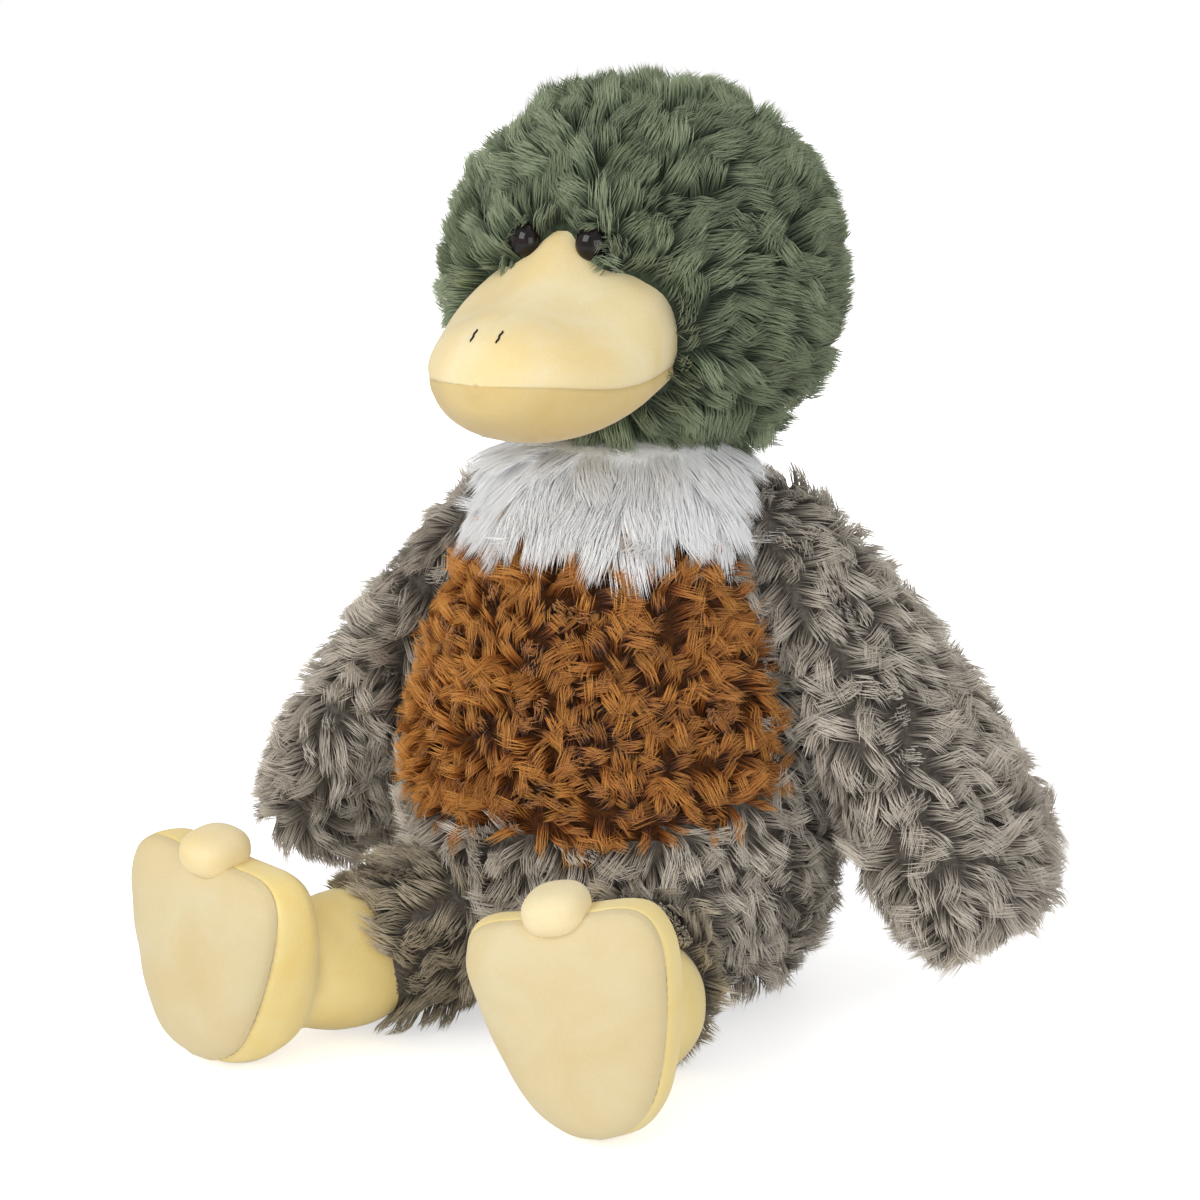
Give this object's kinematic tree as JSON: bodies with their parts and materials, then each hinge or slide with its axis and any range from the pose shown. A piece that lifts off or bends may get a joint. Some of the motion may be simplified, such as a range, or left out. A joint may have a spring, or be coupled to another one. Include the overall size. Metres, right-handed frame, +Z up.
{
  "type": "plush duck",
  "caption": "Seated plush duck: green pile head, yellow velour bill and feet, white collar, rust chest and grey body; head, wings, legs and feet move.",
  "frame": {"origin": "middle of the base panel's flat underside, on the surface that the duck sits on", "axes": "+Z up from the surface, -Y the way the duck faces, +X towards the duck's own left wing"},
  "size_m": [0.3174, 0.2632, 0.3339],
  "materials": {
    "green_pile": "curly plush pile, about 15 mm",
    "rust_pile": "curly plush pile, about 15 mm",
    "taupe_pile": "curly plush pile, about 15 mm",
    "white_pile": "longer straight plush pile",
    "yellow_velour": "short-pile velour",
    "sole_velour": "short-pile velour, paler",
    "base_cloth": "plain woven cloth",
    "bag_cloth": "plain woven cloth bag of beans",
    "fibre": "polyester fibre filling",
    "eye_gloss": "polished black",
    "washer_plastic": "moulded"
  },
  "bodies": {
    "torso": {"base_panel": "base_cloth", "belly_panel": "taupe_pile", "chest_panel": "rust_pile", "back_panel_left": "taupe_pile", "back_panel_right": "taupe_pile", "collar": "white_pile", "bean_bag": "bag_cloth", "torso_stuffing": "fibre", "tail": "taupe_pile"},
    "neck": {"neck_stuffing": "fibre"},
    "head": {"head_cover_left": "green_pile", "head_cover_right": "green_pile", "head_stuffing": "fibre", "eye_left": "eye_gloss", "eye_washer_left": "washer_plastic", "eye_right": "eye_gloss", "eye_washer_right": "washer_plastic", "upper_bill": "yellow_velour", "lower_bill": "yellow_velour", "bill_stuffing": "fibre"},
    "wing_left": {"wing_outer_left": "taupe_pile", "wing_inner_left": "taupe_pile", "wing_stuffing_left": "fibre"},
    "leg_left": {"leg_cover_left": "taupe_pile", "leg_stuffing_left": "fibre"},
    "foot_left": {"ankle_cuff_left": "yellow_velour", "foot_upper_left": "yellow_velour", "foot_sole_left": "sole_velour", "middle_toe_left": "yellow_velour", "foot_stuffing_left": "fibre"},
    "wing_right": {"wing_outer_right": "taupe_pile", "wing_inner_right": "taupe_pile", "wing_stuffing_right": "fibre"},
    "leg_right": {"leg_cover_right": "taupe_pile", "leg_stuffing_right": "fibre"},
    "foot_right": {"ankle_cuff_right": "yellow_velour", "foot_upper_right": "yellow_velour", "foot_sole_right": "sole_velour", "middle_toe_right": "yellow_velour", "foot_stuffing_right": "fibre"}
  },
  "joints": [
    {"name": "head_turn", "type": "hinge", "parent": "torso", "child": "neck", "pos_m": [0, 0, 0.171], "axis": [0, 0, 1], "range_deg": [-25, 25], "stiffness_Nm_per_rad": 0.5},
    {"name": "head_nod", "type": "hinge", "parent": "neck", "child": "head", "pos_m": [0, 0, 0.171], "axis": [1, 0, 0], "range_deg": [-6, 12], "stiffness_Nm_per_rad": 1.5},
    {"name": "wing_lift_left", "type": "hinge", "parent": "torso", "child": "wing_left", "pos_m": [0.0505, 0.017, 0.1915], "axis": [0, -1, 0], "range_deg": [0, 45]},
    {"name": "wing_lift_right", "type": "hinge", "parent": "torso", "child": "wing_right", "pos_m": [-0.0505, 0.017, 0.1915], "axis": [0, 1, 0], "range_deg": [0, 45]},
    {"name": "leg_lift_left", "type": "hinge", "parent": "torso", "child": "leg_left", "pos_m": [0.03733, -0.06735, 0.032], "axis": [-0.8746, -0.4848, 0], "range_deg": [-20, 12], "stiffness_Nm_per_rad": 0.6},
    {"name": "leg_lift_right", "type": "hinge", "parent": "torso", "child": "leg_right", "pos_m": [-0.04194, -0.06458, 0.032], "axis": [-0.8387, 0.5446, 0], "range_deg": [-20, 12], "stiffness_Nm_per_rad": 0.6},
    {"name": "foot_tilt_left", "type": "hinge", "parent": "leg_left", "child": "foot_left", "pos_m": [0.04848, -0.08746, 0.027], "axis": [-0.9816, -0.1908, 0], "range_deg": [-6, 6], "stiffness_Nm_per_rad": 0.3},
    {"name": "foot_tilt_right", "type": "hinge", "parent": "leg_right", "child": "foot_right", "pos_m": [-0.05937, -0.09141, 0.027], "axis": [-0.9272, 0.3746, 0], "range_deg": [-6, 6], "stiffness_Nm_per_rad": 0.3}
  ]
}
